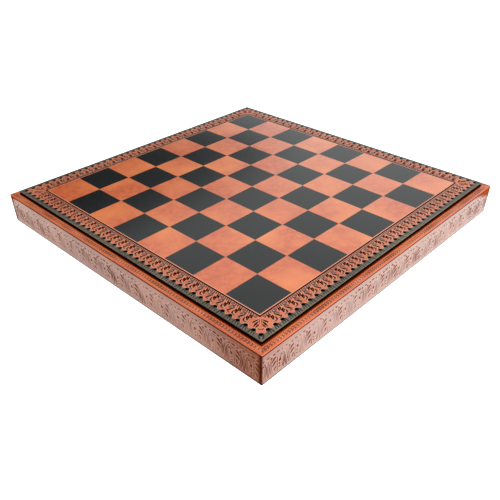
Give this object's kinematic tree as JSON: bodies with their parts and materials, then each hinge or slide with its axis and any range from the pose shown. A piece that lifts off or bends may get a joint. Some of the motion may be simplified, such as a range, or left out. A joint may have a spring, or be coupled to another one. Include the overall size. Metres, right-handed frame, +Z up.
{
  "type": "game box with lift-off board",
  "caption": "Square shallow leatherette-covered case with felt-lined compartments and a lift-off lid bearing a chequered playing field.",
  "frame": {"origin": "middle of the underside, on the surface that the box stands on", "axes": "+Z up through the playing surface; -Y towards the front side; X along the front side. The four sides are alike; the corner field square at the lowest X and Y is a dark one."},
  "size_m": [0.478, 0.478, 0.046],
  "materials": {
    "side_leather": "blind-embossed glossy leatherette, russet",
    "rim_leather": "blind-embossed satin leatherette, russet orange",
    "face_leather": "mottled satin leatherette, russet orange",
    "dark_leather": "smooth satin black leatherette",
    "edge_leather": "embossed satin leatherette, olive black",
    "lining_felt": "short felt, dark wine",
    "base_felt": "pressed felt, near black",
    "divider_board": "thin board faced with flock, dark wine",
    "fibreboard": "raw medium density fibreboard",
    "batten_wood": "planed softwood",
    "steel_pin": "bright drawn wire"
  },
  "bodies": {
    "case": {"base_sheet": "base_felt", "bottom_board": "fibreboard", "bottom_pins": "steel_pin", "corner_brads": "steel_pin", "divider_cross_1": "divider_board", "divider_cross_2": "divider_board", "divider_cross_3": "divider_board", "divider_cross_4": "divider_board", "divider_cross_5": "divider_board", "divider_cross_6": "divider_board", "divider_cross_7": "divider_board", "divider_long_1": "divider_board", "divider_long_2": "divider_board", "divider_long_3": "divider_board", "floor_lining": "lining_felt", "rim_skin_back": "rim_leather", "rim_skin_front": "rim_leather", "rim_skin_left": "rim_leather", "rim_skin_right": "rim_leather", "side_skin_back": "side_leather", "side_skin_front": "side_leather", "side_skin_left": "side_leather", "side_skin_right": "side_leather", "wall_back": "fibreboard", "wall_front": "fibreboard", "wall_left": "fibreboard", "wall_lining_back": "lining_felt", "wall_lining_front": "lining_felt", "wall_lining_left": "lining_felt", "wall_lining_right": "lining_felt", "wall_right": "fibreboard"},
    "lid": {"batten_pins": "steel_pin", "dark_squares": "dark_leather", "frame_line": "dark_leather", "lid_batten_back": "batten_wood", "lid_batten_front": "batten_wood", "lid_batten_left": "batten_wood", "lid_batten_right": "batten_wood", "lid_board": "fibreboard", "lid_edge_wrap": "edge_leather", "lid_face": "face_leather", "lid_underlay": "lining_felt"}
  },
  "joints": [
    {"name": "lid_lift", "type": "slide", "parent": "case", "child": "lid", "axis": [0, 0, 1], "range_m": [0, 0.08]}
  ]
}
